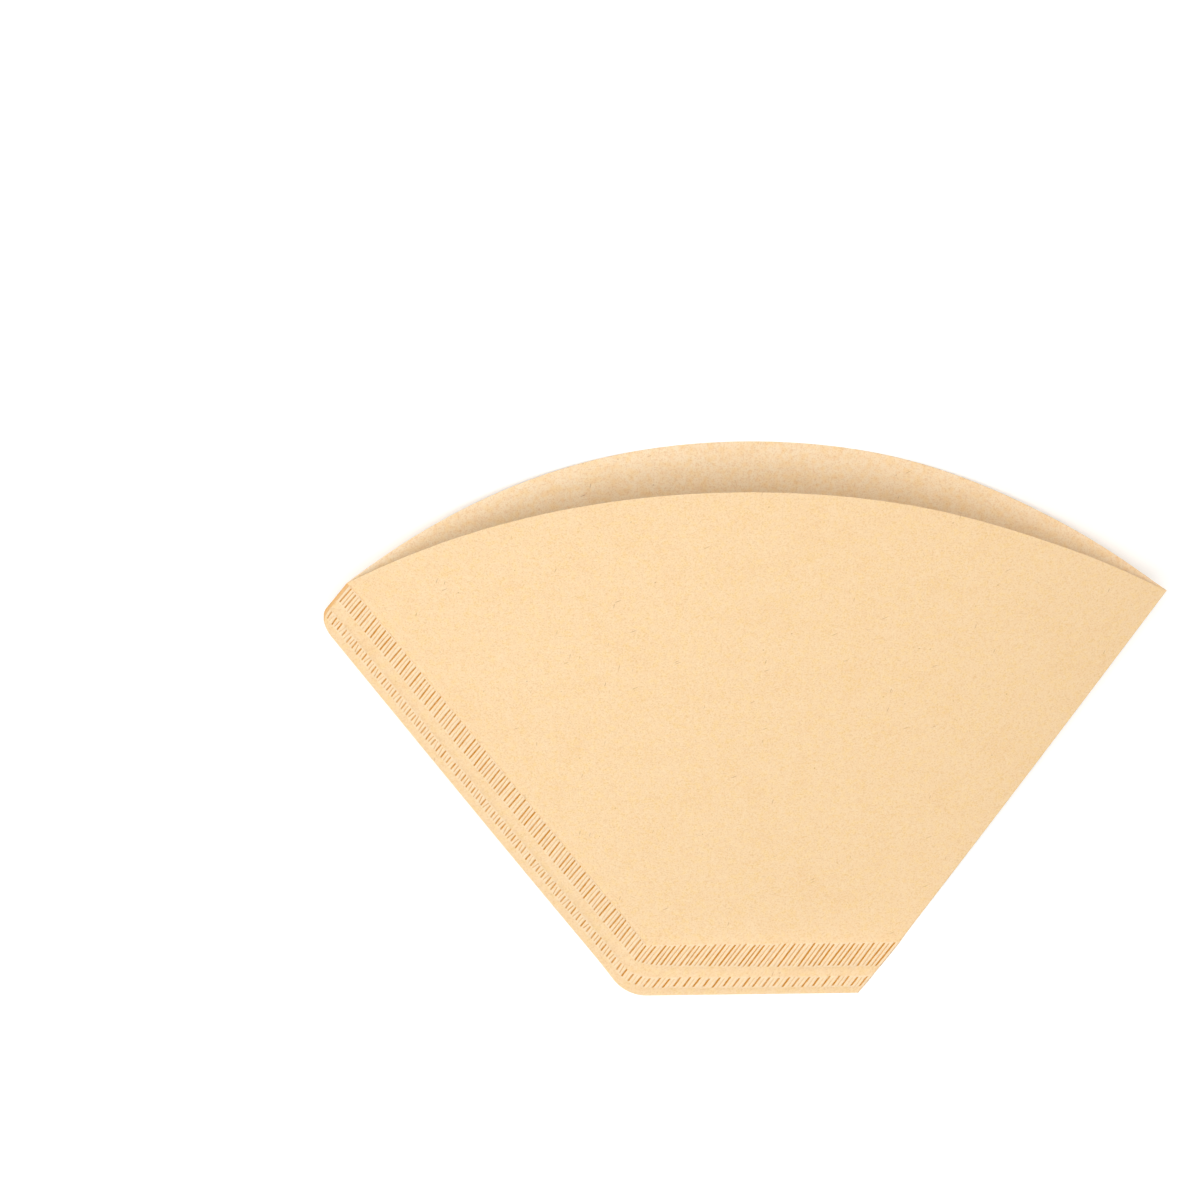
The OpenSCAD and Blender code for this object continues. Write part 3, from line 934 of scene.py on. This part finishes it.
places = np.empty(len(mesh.vertices) * 3)
mesh.vertices.foreach_get("co", places)
places = places.reshape(-1, 3)
low, high = Vector(places.min(0)), Vector(places.max(0))
to_part = (cad_low + cad_high - low - high) / 2
to_part.x = cad_high.x - high.x
to_part.z = cad_low.z - low.z
mesh.transform(Matrix.Translation(to_part))
CUT_ANGLE = math.radians(50)
mesh.shade_smooth()
mesh.set_sharp_from_angle(angle=CUT_ANGLE)
mesh.update()
mesh.calc_loop_triangles()
print("triangles:", len(mesh.loop_triangles), "box in mm:", [round(s / MM, 1) for s in high - low])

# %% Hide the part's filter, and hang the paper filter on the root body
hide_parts("filter")
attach(sheet, "root")

# %% [markdown]
# ## The studio
#
# The filter is shown on a white sweep in a pale room. One large soft lamp hangs almost overhead, a
# little towards the mouth, so that some light falls into the pocket, and the back panel darkens evenly
# towards the place where the front one hides it. A weak second lamp on the seam's side keeps the left
# of the crown a touch lighter than the right. The camera sees the room as white, and the floor too: it
# glows more the further it lies from the filter, where the lamp no longer reaches. Close by, the
# filter's shadow stays.

# %% Lay the floor
FLOOR = "#F4F3F1"
FLOOR_HALF = 1500 * MM
GLOW_FROM = 200 * MM
GLOW_TO = 900 * MM
GLOW_NEAR = 0.22
GLOW_FAR = 1.0
floor_mesh = bpy.data.meshes.new("floor")
floor_corners = [(x * FLOOR_HALF, y * FLOOR_HALF, 0) for x, y in ((-1, -1), (1, -1), (1, 1), (-1, 1))]
floor_mesh.from_pydata(floor_corners, [], [(0, 1, 2, 3)])
floor = bpy.data.objects.new("floor", floor_mesh)
bpy.context.scene.collection.objects.link(floor)

sweep = bpy.data.materials.new("white_paper_sweep")
sweep.use_nodes = True
white = sweep.node_tree
white.nodes.clear()
matt = add(white, "ShaderNodeBsdfDiffuse", {"Color": linear(FLOOR)})
path = add(white, "ShaderNodeLightPath")
seen = path.outputs["Is Camera Ray"]
for ray in ("Is Glossy Ray", "Is Transmission Ray"):
    seen = add(white, MATH, [seen, path.outputs[ray]], operation="MAXIMUM")
from_middle = add(white, "ShaderNodeTexCoord").outputs["Object"]
from_middle = add(white, "ShaderNodeVectorMath", [from_middle], operation="LENGTH").outputs["Value"]
feeds = [from_middle, GLOW_FROM, GLOW_TO, GLOW_NEAR, GLOW_FAR]
glow = add(white, RANGE, feeds, interpolation_type="SMOOTHSTEP")
seen = add(white, MATH, [seen, glow], operation="MULTIPLY")
shine = add(white, "ShaderNodeEmission", {"Color": linear("#FFFFFF"), "Strength": seen})
both = add(white, "ShaderNodeAddShader", [matt, shine])
add(white, "ShaderNodeOutputMaterial", {"Surface": both})
floor_mesh.materials.append(sweep)

# %% Hang the lamps
LAMPS = {
    "soft_lamp": {"at": (0, 335, 1570), "size": 980, "power": 19.1},
    "fill_lamp": {"at": (-1000, -500, 750), "size": 900, "power": 4.9},
}
for name, lamp in LAMPS.items():
    hung = bpy.data.objects.new(name, bpy.data.lights.new(name, "AREA"))
    hung.data.shape = "DISK"
    hung.data.size = lamp["size"] * MM
    hung.data.energy = lamp["power"]
    hung.location = Vector(lamp["at"]) * MM
    hung.rotation_mode = "QUATERNION"
    hung.rotation_quaternion = hung.location.to_track_quat("Z", "Y")
    bpy.context.scene.collection.objects.link(hung)
    print(name, "hangs", round(hung.location.length / MM), "mm from the filter")

# %% Light the room
ROOM_LIGHT = 0.245
room = bpy.data.worlds.new("pale_room")
bpy.context.scene.world = room
room.use_nodes = True
air = room.node_tree
air.nodes.clear()
path = add(air, "ShaderNodeLightPath")
seen = path.outputs["Is Camera Ray"]
for ray in ("Is Glossy Ray", "Is Transmission Ray"):
    seen = add(air, MATH, [seen, path.outputs[ray]], operation="MAXIMUM")
strength = add(air, RANGE, [seen, 0, 1, ROOM_LIGHT, 1])
backdrop = add(air, "ShaderNodeBackground", {"Color": linear("#FFFFFF"), "Strength": strength})
add(air, "ShaderNodeOutputWorld", {"Surface": backdrop})
bpy.context.scene.view_settings.view_transform = "Standard"
